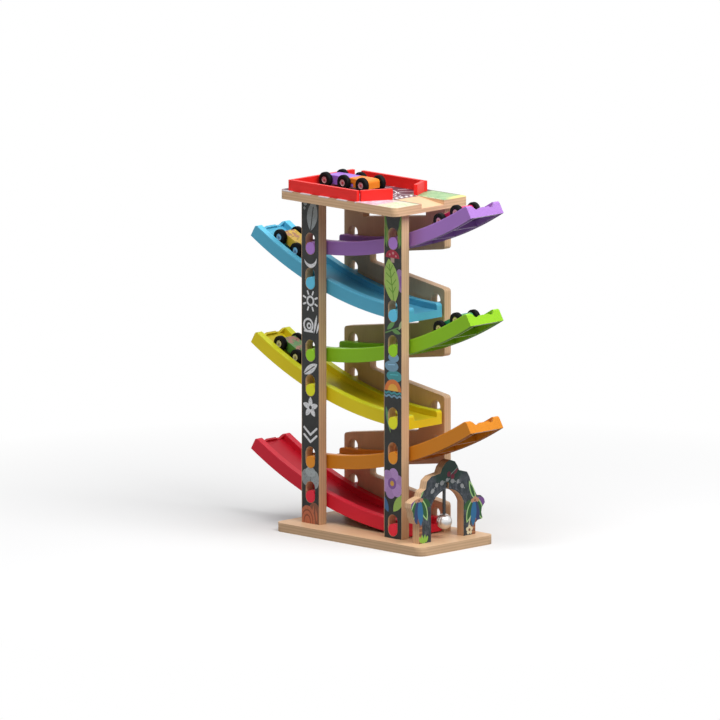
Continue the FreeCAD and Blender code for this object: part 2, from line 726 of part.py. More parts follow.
def draw_axle_grooves(body, places_x):
    """Square grooves across the underside, as deep as the axles need."""
    grooves = sketch_on(body, "XZ_Plane", "grooves")
    half = "(axle_diameter / 2 + axle_play)"
    for x in places_x:
        draw_rectangle(grooves, f"{x} - {half}", f"{x} + {half}",
                       f"body_floor - {PAST}", f"wheel_diameter / 2 + {half}")
    add_pocket(body, grooves, f"body_width + {PAST}", middle=True)


def car_body(label, facing, settle):
    """Body of a short car with a sloped bonnet, facing down its trough."""
    body = new_piece(label)
    profile = sketch_on(body, "XZ_Plane", "profile")
    end = "(wheel_base / 2 + body_overhang)"
    draw_outline(profile, [(f"{facing} * {x}", z) for x, z in (
        (f"-{end}", "body_floor"), (f"-{end}", "body_height - tail_slope"),
        (f"(tail_slope - {end})", "body_height"), (f"({end} - bonnet_start)", "body_height"),
        (f"({end} - bonnet_end)", "body_height - bonnet_drop"),
        (end, "body_floor + bumper_rise"), (end, "body_floor"),
    )])
    add_pad(body, profile, "body_width", middle=True)
    draw_axle_grooves(body, ["-wheel_base / 2", "wheel_base / 2"])
    settle(body)


def wheel_set(label, x, settle):
    """A pair of wheels in one node, and the axle between them in another."""
    radius = "wheel_diameter / 2"
    near = cylinder(f"{label}_near", radius, "wheel_width",
                    x, "-wheel_inside - wheel_width", radius, lying=True)
    far = cylinder(f"{label}_far", radius, "wheel_width", x, "wheel_inside", radius, lying=True)
    pair = new_piece(f"{label}_wheels", "Part::Compound")
    pair.Links = [near, far]
    settle(pair)
    bar = cylinder(f"{label}_bar", "axle_diameter / 2", "2 * wheel_inside",
                   x, "-wheel_inside", radius, lying=True)
    axle = new_piece(f"{label}_axle", "Part::Compound")
    axle.Links = [bar]
    settle(axle)


def ramp_car(label, level):
    """Short car with two axles on the trough of a level."""
    facing = 1 if level % 2 == 0 else -1

    def settle(thing):
        on_ramp(thing, level)
    car_body(f"{label}_body", facing, settle)
    wheel_set(f"{label}_rear", f"-{facing} * wheel_base / 2", settle)
    wheel_set(f"{label}_front", f"{facing} * wheel_base / 2", settle)


def long_car():
    """Long car with three axles, in two bodies. A tongue of the rear one reaches below the front one."""
    rear = new_piece("long_car_rear_body")
    profile = sketch_on(rear, "XZ_Plane", "profile")
    draw_outline(profile, [
        ("-long_car_rear", "body_floor"), ("wheel_base + lap_front", "body_floor"),
        ("wheel_base + lap_front", "body_floor + lap_depth"),
        ("wheel_base + lap_back", "body_floor + lap_depth"),
        ("wheel_base + lap_back", "body_height"), ("tail_slope - long_car_rear", "body_height"),
        ("-long_car_rear", "body_height - tail_slope"),
    ])
    add_pad(rear, profile, "body_width", middle=True)
    draw_axle_grooves(rear, ["0", "wheel_base"])
    on_deck(rear)
    front = new_piece("long_car_front_body")
    profile = sketch_on(front, "XZ_Plane", "profile")
    nose = "(2 * wheel_base + long_car_nose)"
    draw_outline(profile, [
        ("wheel_base + lap_front + lap_play", "body_floor"), (nose, "body_floor"),
        (nose, "body_height - nose_drop"), (f"{nose} - nose_start", "body_height"),
        ("wheel_base + lap_back + lap_play", "body_height"),
        ("wheel_base + lap_back + lap_play", "body_floor + lap_depth + lap_play"),
        ("wheel_base + lap_front + lap_play", "body_floor + lap_depth + lap_play"),
    ])
    block = add_pad(front, profile, "body_width", middle=True)
    tip = number(nose) - NEAR
    top = number("body_height - nose_drop") - NEAR
    round_edges(front, block, "nose_round", Y_AXIS, lambda spot: spot.x > tip and spot.z > top)
    draw_axle_grooves(front, ["2 * wheel_base"])
    on_deck(front)
    for index, name in enumerate(("rear", "middle", "front")):
        wheel_set(f"long_car_{name}", f"{index} * wheel_base", on_deck)


def run_checks():
    """Stops where a feature failed or a piece has no valid solid."""
    for thing in doc.Objects:
        if "Invalid" in thing.State or "Error" in thing.State:
            raise RuntimeError(f"{thing.Name} failed: {thing.State}")
    for piece in PIECES:
        if piece.Shape.isNull() or not piece.Shape.isValid() or not piece.Shape.Solids:
            raise RuntimeError(f"{piece.Label} has no valid solid")


fill_sheets()
base_board()
front_post("front_post_left", -1)
front_post("front_post_right", 1)
back_panel()
top_deck()
deck_fences()
for level, (ramp_name, car_name) in enumerate(TROUGHS):
    ramp(ramp_name, level)
    if car_name:
        ramp_car(car_name, level)
gate_arch()
swinging_ball()
long_car()
doc.recompute()
run_checks()
for piece in PIECES:
    piece.Shape.exportStep(f"parts/{piece.Label}.step")
    print(f"{piece.Label}: {len(piece.Shape.Solids)} solid(s), {piece.Shape.Volume:.0f} mm3")
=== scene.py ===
"""Looks of a toy car ramp: printed plywood, moulded troughs, painted cars and their wheels."""

import json
import math

import bmesh
import bpy
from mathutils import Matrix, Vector


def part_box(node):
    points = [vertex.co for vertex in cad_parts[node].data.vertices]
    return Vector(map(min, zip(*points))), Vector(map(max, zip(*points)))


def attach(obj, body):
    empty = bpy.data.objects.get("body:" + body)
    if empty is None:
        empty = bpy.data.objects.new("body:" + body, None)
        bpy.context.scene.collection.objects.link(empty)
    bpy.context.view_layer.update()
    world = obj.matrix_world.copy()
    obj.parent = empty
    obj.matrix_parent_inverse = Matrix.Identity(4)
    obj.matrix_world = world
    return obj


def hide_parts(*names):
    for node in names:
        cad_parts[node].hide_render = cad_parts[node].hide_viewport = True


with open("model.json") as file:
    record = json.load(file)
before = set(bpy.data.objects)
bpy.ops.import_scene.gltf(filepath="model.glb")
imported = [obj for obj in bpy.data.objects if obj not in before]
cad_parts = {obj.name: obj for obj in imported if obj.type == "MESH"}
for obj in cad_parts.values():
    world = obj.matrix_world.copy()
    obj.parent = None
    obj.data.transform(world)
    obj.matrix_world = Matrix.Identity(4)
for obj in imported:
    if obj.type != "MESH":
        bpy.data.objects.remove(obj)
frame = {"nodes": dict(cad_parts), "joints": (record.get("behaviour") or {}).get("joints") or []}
NODES = frame["nodes"]
BALL_SWING = next(joint for joint in frame["joints"] if joint["name"] == "ball_swing")
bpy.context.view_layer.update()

# Sizes are written in millimetres, and MM turns them into metres.
MM = 0.001


class Wire:
    """A socket in a node tree. Arithmetic on it adds Math nodes."""

    def __init__(self, nodes, socket):
        self.nodes = nodes
        self.socket = socket

    def __add__(self, other):
        return self.nodes.math("ADD", self, other)

    def __sub__(self, other):
        return self.nodes.math("SUBTRACT", self, other)

    def __rsub__(self, other):
        return self.nodes.math("SUBTRACT", other, self)

    def __mul__(self, other):
        return self.nodes.math("MULTIPLY", self, other)

    def __pow__(self, other):
        return self.nodes.math("POWER", self, other)

    def __neg__(self):
        return self.nodes.math("MULTIPLY", self, -1.0)

    def __abs__(self):
        return self.nodes.math("ABSOLUTE", self)

    __radd__ = __add__
    __rmul__ = __mul__


class Nodes:
    """A node tree, and the few ways in which it is added to."""

    def __init__(self, tree):
        self.tree = tree
        tree.nodes.clear()

    def feed(self, socket, value):
        """Links a wire to a socket, or sets the socket to a number or a colour."""
        if isinstance(value, Wire):
            self.tree.links.new(value.socket, socket)
        elif socket.type == "RGBA":
            socket.default_value = (*value, 1.0)
        else:
            socket.default_value = value

    def node(self, kind, settings=None, inputs=None, output=0):
        """Adds a node, sets it up, feeds its sockets and gives one of its outputs."""
        made = self.tree.nodes.new(kind)
        for name, value in (settings or {}).items():
            setattr(made, name, value)
        for key, value in (inputs or {}).items():
            self.feed(made.inputs[key], value)
        return Wire(self, made.outputs[output]) if len(made.outputs) else made

    def split(self, vector):
        """The three parts of a vector."""
        parts = self.node("ShaderNodeSeparateXYZ", None, {0: vector}).socket.node.outputs
        return [Wire(self, part) for part in parts]

    def math(self, operation, *values, clamp=False):
        """Arithmetic on numbers, kept between 0 and 1 where clamp is set."""
        settings = {"operation": operation, "use_clamp": clamp}
        return self.node("ShaderNodeMath", settings, dict(enumerate(values)))

    def vector(self, operation, *values, output="Vector"):
        """Arithmetic on vectors, whose output is a vector or, where it is called Value, a number."""
        return self.node("ShaderNodeVectorMath", {"operation": operation}, dict(enumerate(values)), output)

    def mix(self, amount, first, second):
        """A colour between two others."""
        return self.node("ShaderNodeMix", {"data_type": "RGBA"}, {0: amount, 6: first, 7: second}, output=2)

    def ramp(self, value, low, high):
        """0 below low, 1 above high, and even between them."""
        return self.math("MULTIPLY_ADD", value, 1 / (high - low), low / (low - high), clamp=True)

    def inside(self, distance, soft=0.25 * MM):
        """1 where a distance to an outline is negative, 0 where it is positive, and soft between them."""
        return self.math("MULTIPLY_ADD", distance, -1 / soft, 0.5, clamp=True)

    def least(self, first, *others):
        """The smallest of several numbers."""
        for other in others:
            first = self.math("MINIMUM", first, other)
        return first

    def most(self, first, *others):
        """The largest of several numbers."""
        for other in others:
            first = self.math("MAXIMUM", first, other)
        return first

    def length(self, x, y):
        """How far a point at x, y lies from the origin."""
        return (x * x + y * y) ** 0.5

    def seen_directly(self):
        """1 for what the camera sees, itself or in a reflection or through glass."""
        kinds = ("Camera", "Glossy", "Transmission")
        return self.most(*[self.node("ShaderNodeLightPath", output=f"Is {kind} Ray") for kind in kinds])


class Paint(Nodes):
    """One material, and the place and direction of the surface that it covers."""

    def __init__(self, name, roughness=0.5, gloss=0.5, metallic=0.0):
        self.material = bpy.data.materials.new(name)
        self.material.use_nodes = True
        super().__init__(self.material.node_tree)
        constants = {"Roughness": roughness, "Specular IOR Level": gloss, "Metallic": metallic}
        self.surface = self.node("ShaderNodeBsdfPrincipled", None, constants)
        self.shader = self.surface.socket.node
        self.output = self.node("ShaderNodeOutputMaterial", None, {"Surface": self.surface})
        self.spot = self.node("ShaderNodeTexCoord", output="Object")
        self.x, self.y, self.z = self.split(self.spot)
        self.nx, self.ny, self.nz = self.split(self.node("ShaderNodeTexCoord", output="Normal"))

    def noise(self, scale, detail, rough, stretch=(1, 1, 1)):
        """Noise over the piece, drawn out along the axes where stretch is small."""
        where = self.vector("MULTIPLY", self.spot, stretch)
        settings = {"Vector": where, "Scale": scale, "Detail": detail, "Roughness": rough}
        return self.node("ShaderNodeTexNoise", None, settings)

    def finish(self, colour, roughness=None, bump=None, depth=0.0):
        """Feeds the shader, with a bump of a given depth in metres, and gives the material."""
        self.feed(self.shader.inputs["Base Color"], colour)
        if roughness is not None:
            self.feed(self.shader.inputs["Roughness"], roughness)
        if bump is not None:
            tilt = self.node("ShaderNodeBump", None, {"Height": bump, "Distance": depth, "Strength": 1.0})
            self.feed(self.shader.inputs["Normal"], tilt)
        return self.material


def toned(tint, share):
    """The same tint, darker where share is under 1 and brighter where it is over 1."""
    return tuple(share * part for part in tint)


class Motif:
    """A spot to draw at on a flat face. Its shapes are distances in metres, negative inside them."""

    def __init__(self, paint, spot):
        self.paint = paint
        self.spot = spot

    def at(self, u, v, turn=0.0, scale=1.0):
        """The same face from a spot at u, v, turned anticlockwise and enlarged."""
        placing = {"Vector": self.spot, "Location": (u * MM, v * MM, 0),
                   "Rotation": (0, 0, math.radians(turn)), "Scale": (scale, scale, scale)}
        return Motif(self.paint, self.paint.node("ShaderNodeMapping", {"vector_type": "TEXTURE"}, placing))

    def disc(self, u, v, radius):
        """A disc about u, v."""
        return self.paint.vector("DISTANCE", self.spot, (u * MM, v * MM, 0), output="Value") - radius * MM

    def oval(self, u, v, half_wide, half_high):
        """An oval about u, v, whose distances are rough ones."""
        shrink = (1 / half_wide, 1 / half_high, 0)
        shift = (-u * MM / half_wide, -v * MM / half_high, 0)
        share = self.paint.vector("MULTIPLY_ADD", self.spot, shrink, shift)
        return (self.paint.vector("LENGTH", share, output="Value") - MM) * min(half_wide, half_high)

    def ring(self, u, v, radius, line):
        """The outline of a disc, as a line of a given width."""
        return abs(self.disc(u, v, radius)) - line * MM / 2

    def leaf(self, long, wide):
        """A pointed leaf along v: where two equal discs cross."""
        radius = (long * long + wide * wide) / (4 * wide)
        shift = radius - wide / 2
        return self.paint.most(self.disc(-shift, 0, radius), self.disc(shift, 0, radius))

    def stroke(self, start, end, line):
        """A round-ended stroke between two points."""
        run = Vector((end[0] - start[0], end[1] - start[1], 0)) * MM
        reach = self.paint.vector("SUBTRACT", self.spot, (start[0] * MM, start[1] * MM, 0))
        share = self.paint.vector("DOT_PRODUCT", reach, tuple(run / run.length_squared), output="Value")
        along = {"Vector": tuple(run), "Scale": self.paint.math("ADD", share, 0.0, clamp=True)}
        nearest = self.paint.node("ShaderNodeVectorMath", {"operation": "SCALE"}, along)
        return self.paint.vector("DISTANCE", reach, nearest, output="Value") - line * MM / 2

    def box(self, u, v, half_wide, half_high):
        """A box with square corners about u, v."""
        reach = self.paint.vector("ABSOLUTE", self.paint.vector("SUBTRACT", self.spot, (u * MM, v * MM, 0)))
        past = self.paint.vector("SUBTRACT", reach, (half_wide * MM, half_high * MM, 0))
        return self.paint.most(*self.paint.split(past)[:2])

    def below(self, height):
        """All of the face below a height."""
        return self.paint.split(self.spot)[1] - height * MM

    def joined(self, *shapes):
        """Several shapes as one."""
        return self.paint.least(*shapes)

    def cut(self, shape, hole):
        """A shape without its part that lies in another."""
        return self.paint.most(shape, -hole)


def flat_face(paint, across, up):
    """A flat face to draw on, from two wires in metres."""
    return Motif(paint, paint.node("ShaderNodeCombineXYZ", None, {0: across, 1: up}))


def draw(colour, drawing, grain=None):
    """Lays a drawing's shapes over a colour, one after another, with worn gaps where grain is low."""
    for distance, tint in drawing:
        mask = colour.nodes.inside(distance)
        colour = colour.nodes.mix(mask if grain is None else mask * grain, colour, tint)
    return colour


WOOD_LIGHT = (0.80, 0.535, 0.325)
WOOD_DARK = (0.68, 0.43, 0.245)
PLY = 1.9
PORE_DEPTH = 0.03 * MM
SATIN = 0.35

# How squarely a surface has to face a print's direction to carry it.
FACING = 0.95


def wood_tone(paint, grain, thick):
    """Colour and pores of lacquered birch plywood: soft figure along the grain, and plies on its edges."""
    slow = tuple(0.14 if axis == grain else 1.0 for axis in "xyz")
    fine = tuple(0.05 if axis == grain else 1.0 for axis in "xyz")
    figure = paint.noise(34.0, 4.0, 0.6, slow)
    pores = paint.noise(900.0, 2.0, 0.6, fine)
    shade = paint.ramp(figure, 0.30, 0.72) * 0.65 + paint.ramp(pores, 0.42, 0.70) * 0.35
    face = paint.mix(shade, WOOD_LIGHT, WOOD_DARK)
    place = {"x": paint.x, "y": paint.y, "z": paint.z}[thick]
    facing = {"x": paint.nx, "y": paint.ny, "z": paint.nz}[thick]
    edge_on = 1.0 - paint.ramp(abs(facing), 0.3, 0.7)
    ply = paint.ramp(paint.math("SINE", place * (math.pi / (PLY * MM))), -0.3, 0.3)
    layers = paint.mix(ply * 0.45 + pores * 0.3 + figure * 0.25, WOOD_LIGHT, toned(WOOD_DARK, 0.84))
    return paint.mix(edge_on * 0.8, face, layers), pores


def plywood(name, grain, thick):
    """Bare plywood with its grain along one axis and its plies stacked along another."""
    paint = Paint(name, gloss=SATIN)
    colour, pores = wood_tone(paint, grain, thick)
    return paint.finish(colour, roughness=0.40 + pores * 0.2, bump=pores, depth=PORE_DEPTH)


CHALK = (0.90, 0.90, 0.92)
GREY = (0.42, 0.46, 0.47)
SLATE = (0.017, 0.018, 0.017)
SLATE_DUST = (0.034, 0.036, 0.035)
GREEN = (0.10, 0.27, 0.055)
LIME = (0.38, 0.57, 0.13)
LILAC = (0.54, 0.32, 0.66)
PLUM = (0.25, 0.11, 0.36)
SEA = (0.20, 0.37, 0.50)
TEAL = (0.07, 0.33, 0.36)
ORANGE = (0.78, 0.22, 0.055)
GOLD = (0.92, 0.50, 0.08)
RED = (0.44, 0.03, 0.06)
CLAY = (0.56, 0.17, 0.085)
EARTH = (0.26, 0.105, 0.06)
STALK = (0.50, 0.36, 0.30)
CAP_DOT = (0.62, 0.30, 0.32)
VEIN = (0.13, 0.30, 0.035)
SPRIG = (0.15, 0.34, 0.10)
SPRIG_TIP = (0.40, 0.50, 0.26)
FERN = (0.12, 0.30, 0.16)
NIGHT_BLUE = (0.06, 0.16, 0.34)


def feather(motif):
    """A long plume with a dark quill, and three dots beside it."""
    plume = motif.at(3.5, 0, -9)
    dots = motif.joined(motif.disc(-9.5, 16, 3.4), motif.disc(-11, 9, 2.0), motif.disc(-6.5, 23, 1.9))
    return [(plume.leaf(42, 19), GREY), (plume.stroke((0, -24), (0, 12), 1.7), SLATE), (dots, GREY)]


def crescent(motif):
    """A thin crescent, points up."""
    return [(motif.cut(motif.disc(0, 3, 10.5), motif.disc(0.5, 8.5, 11.5)), CHALK)]


def sunburst(motif):
    """A ring with eight short rays."""
    shape = motif.ring(0, 0, 5.2, 2.6)
    for index in range(8):
        angle = (index + 0.5) * math.pi / 4
        inner = (8.6 * math.cos(angle), 8.6 * math.sin(angle))
        outer = (12.4 * math.cos(angle), 12.4 * math.sin(angle))
        shape = motif.joined(shape, motif.stroke(inner, outer, 2.3))
    return [(shape, CHALK)]


def shell(motif):
    """A coiled shell, with two blades of grass behind it."""
    coil = motif.joined(motif.ring(-3.5, 0, 7.4, 2.6), motif.ring(-2.2, -0.8, 3.0, 2.2))
    foot = motif.stroke((-10, -7.6), (4, -7.6), 2.2)
    blades = motif.joined(motif.at(8.5, 2, -12).leaf(24, 3.4), motif.at(13, -1, -18).leaf(17, 3.0))
    return [(motif.joined(coil, foot, blades), CHALK)]


def plain_leaf(motif):
    """A pale leaf with one vein."""
    return [(motif.leaf(25, 9.5), CHALK), (motif.stroke((0, -14), (0, 7), 1.2), SLATE)]


def daisy(motif):
    """Five pointed petals round a dark spot."""
    petals = [motif.at(5.6 * math.sin(a), 5.6 * math.cos(a), -math.degrees(a)).leaf(12.5, 6.2)
              for a in (index * 2 * math.pi / 5 for index in range(5))]
    return [(motif.joined(*petals), CHALK), (motif.disc(0, 0, 2.2), SLATE)]


def chevrons(motif):
    """Two chevrons, one above the other, pointing down."""
    lines = []
    for step in (-4.5, 4.0):
        for side in (-1, 1):
            lines.append(motif.stroke((side * 10, step + 5), (0, step - 3), 2.7))
    return [(motif.joined(*lines), CHALK)]


def boulders(motif):
    """Grey stones heaped round the lowest slot."""
    found = []
    for u, v, wide, high, share in ((-8, 3, 8.5, 11, 0.8), (8.5, 1, 7.5, 12, 0.95), (0, 11, 9.5, 6.5, 1.1)):
        glint = motif.at(u - 1, v + 1.5).stroke((-3, 1.5), (2.5, 3), 1.0)
        found += [(motif.oval(u, v, wide, high), toned(GREY, share)), (glint, toned(GREY, share * 0.7))]
    return found


def hills(motif):
    """Rounded clay hills with stripes, at the foot of the post."""
    far = motif.oval(7.0, -12.0, 14.0, 25.0)
    near = motif.oval(-6.0, -14.0, 14.5, 22.0)
    found = [(far, EARTH), (near, CLAY)]
    for inset in (4.0, 8.5):
        stripe = abs(near + inset * MM) - 0.7 * MM
        found.append((stripe, toned(CLAY, 0.45)))
    reeds = motif.joined(motif.at(11, -4, 8).leaf(20, 3.2), motif.at(5, 2, -6).leaf(15, 2.8))
    found.append((reeds, CLAY))
    return found


# Each motif's place across the post and up it, its turn and its size, and its drawing.
LEFT_PRINT = (
    (0, 428, 0, 1.0, feather), (1, 366, 14, 1.1, crescent), (0, 313, 0, 1.1, sunburst),
    (0, 280, 0, 1.1, shell), (0, 221, -58, 1.2, plain_leaf), (0, 169, 0, 1.2, daisy),
    (0, 131, 0, 1.15, chevrons), (0, 71, 0, 1.0, boulders), (0, 28, 0, 1.0, hills),
)


def blades(motif):
    """Long leaves standing at both sides of the top slot."""
    found = []
    for side in (-1, 1):
        for index, (u, lean, long) in enumerate(((12.5, 6, 44), (9.5, 17, 30), (15.0, -6, 30))):
            blade = motif.at(side * u, index * -6.0, -side * lean)
            tint = GREEN if index != 1 else toned(LIME, 0.6)
            found.append((blade.leaf(long, 6.8), tint))
            found.append((blade.stroke((0, -long / 2), (0, long / 3), 0.7), toned(LIME, 0.85)))
    return found


def toadstool(motif):
    """A red cap with pale dots on a short stem."""
    cap = motif.cut(motif.oval(0, -3, 11, 9.5), motif.below(-3))
    dots = motif.joined(motif.disc(-4.5, 0.5, 1.4), motif.disc(1, 2.6, 1.6), motif.disc(5.5, -0.5, 1.2))
    return [(motif.box(0, -5.5, 3.0, 3.0), STALK), (cap, RED), (dots, CAP_DOT)]


def broad_leaf(motif):
    """A large lime leaf with veins, and a lilac bud beside it."""
    bud = motif.at(12.5, 2, 10)
    found = [(bud.oval(0, 0, 7.5, 14), toned(LILAC, 0.62)), (bud.oval(1.5, -2, 3.5, 8), PLUM)]
    blade = motif.at(-2.5, 0, 10)
    found.append((blade.leaf(54, 24), LIME))
    veins = [blade.stroke((0, -27), (0, 20), 1.5)]
    for height in (-14, -5, 4, 12):
        reach = 8.5 - abs(height + 2) * 0.25
        for side in (-1, 1):
            veins.append(blade.stroke((0, height), (side * reach, height + 6.5), 1.2))
    found.append((blade.joined(*veins), VEIN))
    return found


def sprig(motif):
    """Three small leaves on a bent stem."""
    stem = motif.stroke((-11, -5), (10, 3), 1.2)
    leaves = motif.joined(motif.at(-3, 3.5, -50).leaf(15, 5.2), motif.at(5, -2.5, -100).leaf(13, 4.6))
    return [(motif.joined(stem, leaves), SPRIG), (motif.at(12, 6, -30).leaf(14, 4.4), SPRIG_TIP)]


def pebbles(motif):
    """Three round blue stones, one on another, with pale bands."""
    found = []
    stones = ((2, -9, 11.5, 6.2, TEAL), (-2, 1.5, 10, 5.8, SEA), (1, 11, 7.8, 5.0, toned(SEA, 1.1)))
    for u, v, wide, high, tint in stones:
        band = motif.stroke((u - wide * 0.5, v + 1.2), (u + wide * 0.45, v + 2.0), 1.1)
        found += [(motif.oval(u, v, wide, high), tint), (band, toned(tint, 1.7))]
    return found


def sunset(motif):
    """A low sun in two colours over waves."""
    horizon = motif.below(-2)
    sun = motif.cut(motif.disc(0, -2, 14), horizon)
    core = motif.cut(motif.disc(0, -2, 8.5), horizon)
    found = [(sun, ORANGE), (core, GOLD)]
    across, up = motif.paint.split(motif.spot)[:2]
    wave_length = 9 * MM
    wave_height = 1 * MM
    swell = motif.paint.math("SINE", across * (2 * math.pi / wave_length)) * wave_height
    for height, tint in ((-4.5, TEAL), (-8.5, SEA)):
        found.append((abs(up - swell - height * MM) - 1.3 * MM, tint))
    return found


def thin_leaf(motif):
    """A narrow leaf with one vein."""
    return [(motif.leaf(32, 5.5), FERN), (motif.stroke((0, -16), (0, 9), 0.8), toned(LIME, 0.7))]


def blossom(motif):
    """A large round flower of six petals, with a leaf and a bud below it."""
    found = [(motif.at(10, -21, -38).leaf(26, 11), LIME), (motif.at(-11, -23, 28).leaf(22, 8), NIGHT_BLUE)]
    for index in range(6):
        angle = index * math.pi / 3 + 0.3
        petal = motif.disc(10.2 * math.cos(angle), 10.2 * math.sin(angle), 7.4)
        found.append((petal, toned(LILAC, 1.0 if index % 2 else 0.86)))
    found += [(motif.disc(0, 0, 6.4), PLUM), (motif.disc(0, 0, 3.0), toned(GOLD, 0.8))]
    return found


RIGHT_PRINT = (
    (0, 428, 0, 1.1, blades), (-1, 393, 0, 1.15, toadstool), (0, 358, 0, 1.12, broad_leaf),
    (0, 294, 0, 1.25, sprig), (0, 242, 0, 1.25, pebbles), (0, 213, 0, 1.1, sunset),
    (-9, 172, 14, 1.1, thin_leaf), (-1.5, 86, 0, 1.2, blossom),
)

# Half the width of a post's print, and how far right of the post's middle it lies.
PRINT_HALF = 15.8
PRINT_SHIFT = 0.2


def printed_post(name, node, drawings, wear):
    """A post with a slate print and motifs on its front, worn a little, and bare wood beside the print."""
    paint = Paint(name, gloss=SATIN)
    low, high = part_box(node)
    across = paint.x - ((low.x + high.x) / 2 + PRINT_SHIFT * MM)
    face = flat_face(paint, across, paint.z)
    wood, pores = wood_tone(paint, "z", "y")
    dust = paint.noise(120.0, 5.0, 0.65)
    crumbs = paint.noise(650.0, 2.0, 0.7)
    grain = 1.0 - paint.ramp(crumbs, 0.52, 0.70) * wear
    colour = paint.mix(paint.ramp(dust, 0.35, 0.8), SLATE, SLATE_DUST)
    for u, height, turn, scale, drawing in drawings:
        colour = draw(colour, drawing(face.at(u, height, turn, scale)), grain)
    front = paint.inside(paint.ny + FACING, 0.02) * paint.inside(abs(across) - PRINT_HALF * MM)
    surface = paint.mix(front, wood, colour)
    return paint.finish(surface, roughness=0.42 + pores * 0.18, bump=pores, depth=PORE_DEPTH)


ASPHALT = (0.105, 0.032, 0.055)
GRIT = (0.16, 0.07, 0.09)
MARKING = (0.72, 0.68, 0.70)
GRASS = (0.22, 0.40, 0.18)
GRASS_PALE = (0.40, 0.56, 0.30)
GRAVEL = (0.70, 0.66, 0.52)
GRAVEL_GREEN = (0.50, 0.62, 0.34)
HEATHER = (0.52, 0.36, 0.44)
HEATHER_PALE = (0.82, 0.66, 0.74)
STRAW = (0.72, 0.66, 0.24)
BORDER_RED = (0.30, 0.03, 0.04)
CHECK_WHITE = (0.86, 0.84, 0.84)
KERB = (0.86, 0.80, 0.52)

# How far the border runs down the deck's front edge, where it ends, its dashes, and a start line's check.
LIP = 1.5
BORDER_END = 16
DASH_PERIOD = 33.9
DASH_MIDDLE = -45.6
CHECK = 4.6


def yard_ground(paint, yard, grit, corner):
    """Asphalt with a lawn and a straw corner behind the exit groove, and gravel and heather before it."""
    tufts = paint.noise(170.0, 3.0, 0.7)
    asphalt = paint.mix(paint.ramp(grit, 0.4, 0.75), ASPHALT, GRIT)
    grass = paint.mix(paint.ramp(tufts, 0.35, 0.65), GRASS, GRASS_PALE)
    gravel = paint.mix(paint.ramp(tufts, 0.45, 0.6), GRAVEL, GRAVEL_GREEN)
    heather = paint.mix(paint.ramp(tufts, 0.42, 0.58), HEATHER, HEATHER_PALE)
    lawn = paint.inside(yard.box(66, 46, 44, 22), 3 * MM)
    straw = paint.inside(yard.at(corner.x, corner.y).oval(0, -6, 14, 30), 6 * MM)
    path = paint.inside(yard.box(66, -46, 28, 24), 5 * MM)
    bed = paint.inside(yard.box(24, -48, 26, 22), 8 * MM) * (1 - paint.inside(yard.box(-5, -40, 20, 21.6)))
    colour = paint.mix(lawn, asphalt, grass)
    colour = paint.mix(straw, colour, STRAW)
    colour = paint.mix(path, colour, gravel)
    return paint.mix(bed, colour, heather)


def yard_marks(yard):
    """Pale lines: rings to turn in, slanted bays along both sides and arrows to the exit."""
    rings = ((-22, 2, 30, 1.8), (-22, 2, 24, 1.4), (12, 30, 12, 1.6), (12, -26, 12, 1.6))
    marks = [yard.ring(*ring) for ring in rings]
    for place in (-92, -66, -40, -14):
        marks.append(yard.stroke((place, 40), (place + 7, 56), 1.8))
        marks.append(yard.stroke((place, -42), (place + 7, -58), 1.8))
    for place in (4, 12, 20):
        marks.append(yard.stroke((place, 10), (place + 5, 2), 1.6))
        marks.append(yard.stroke((place, -6), (place + 5, 2), 1.6))
    return yard.joined(*marks)


def start_line(paint, yard, colour):
    """A chequered line between the slanted fences, and a dashed kerb beyond it."""
    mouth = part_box("funnel_back")[1].x / MM
    square = math.pi / (CHECK * MM)
    checks = paint.math("SINE", (paint.x - mouth * MM) * square) * paint.math("SINE", paint.y * square)
    chequers = paint.mix(paint.ramp(checks, -0.05, 0.05), ASPHALT, CHECK_WHITE)
    colour = paint.mix(paint.inside(yard.box(mouth - CHECK, 2.0, CHECK, 24.0)), colour, chequers)
    kerb = [yard.stroke((x, 27), (x + 7, 27), 1.4) for x in (46, 58, 70)]
    return draw(colour, [(yard.joined(*kerb), KERB)])


def deck_print(name):
    """Deck: bare edges, and on top a printed yard whose dashed border runs over the front lip."""
    paint = Paint(name, gloss=SATIN)
    wood, pores = wood_tone(paint, "x", "z")
    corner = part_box("top_deck")[1] / MM
    yard = flat_face(paint, paint.x, paint.y)
    grit = paint.noise(420.0, 4.0, 0.6)
    colour = yard_ground(paint, yard, grit, corner)
    wave = paint.math("COSINE", (paint.x - DASH_MIDDLE * MM) * (2 * math.pi / (DASH_PERIOD * MM)))
    dashes = paint.ramp(wave, -0.25, -0.12)
    before_groove = paint.inside(paint.x - BORDER_END * MM, 3 * MM)
    border = paint.inside(paint.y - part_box("fence_front")[0].y) * before_groove
    colour = paint.mix(border, colour, paint.mix(dashes, BORDER_RED, MARKING))
    colour = draw(colour, [(yard_marks(yard), MARKING)])
    colour = start_line(paint, yard, colour)
    level = paint.ramp(paint.nz, 0.994, 0.999)
    top = level * paint.ramp(paint.z, (corner.z - 1.2) * MM, (corner.z - 0.8) * MM)
    surface = paint.mix(top, wood, colour)
    above_lip = paint.ramp(paint.z, (corner.z - LIP) * MM, (corner.z - LIP + 0.2) * MM)
    lip = above_lip * paint.inside(paint.ny + 0.2, 0.1) * before_groove * (1 - level)
    surface = paint.mix(lip * dashes, surface, MARKING)
    return paint.finish(surface, roughness=0.40 + grit * 0.2, bump=pores, depth=PORE_DEPTH)


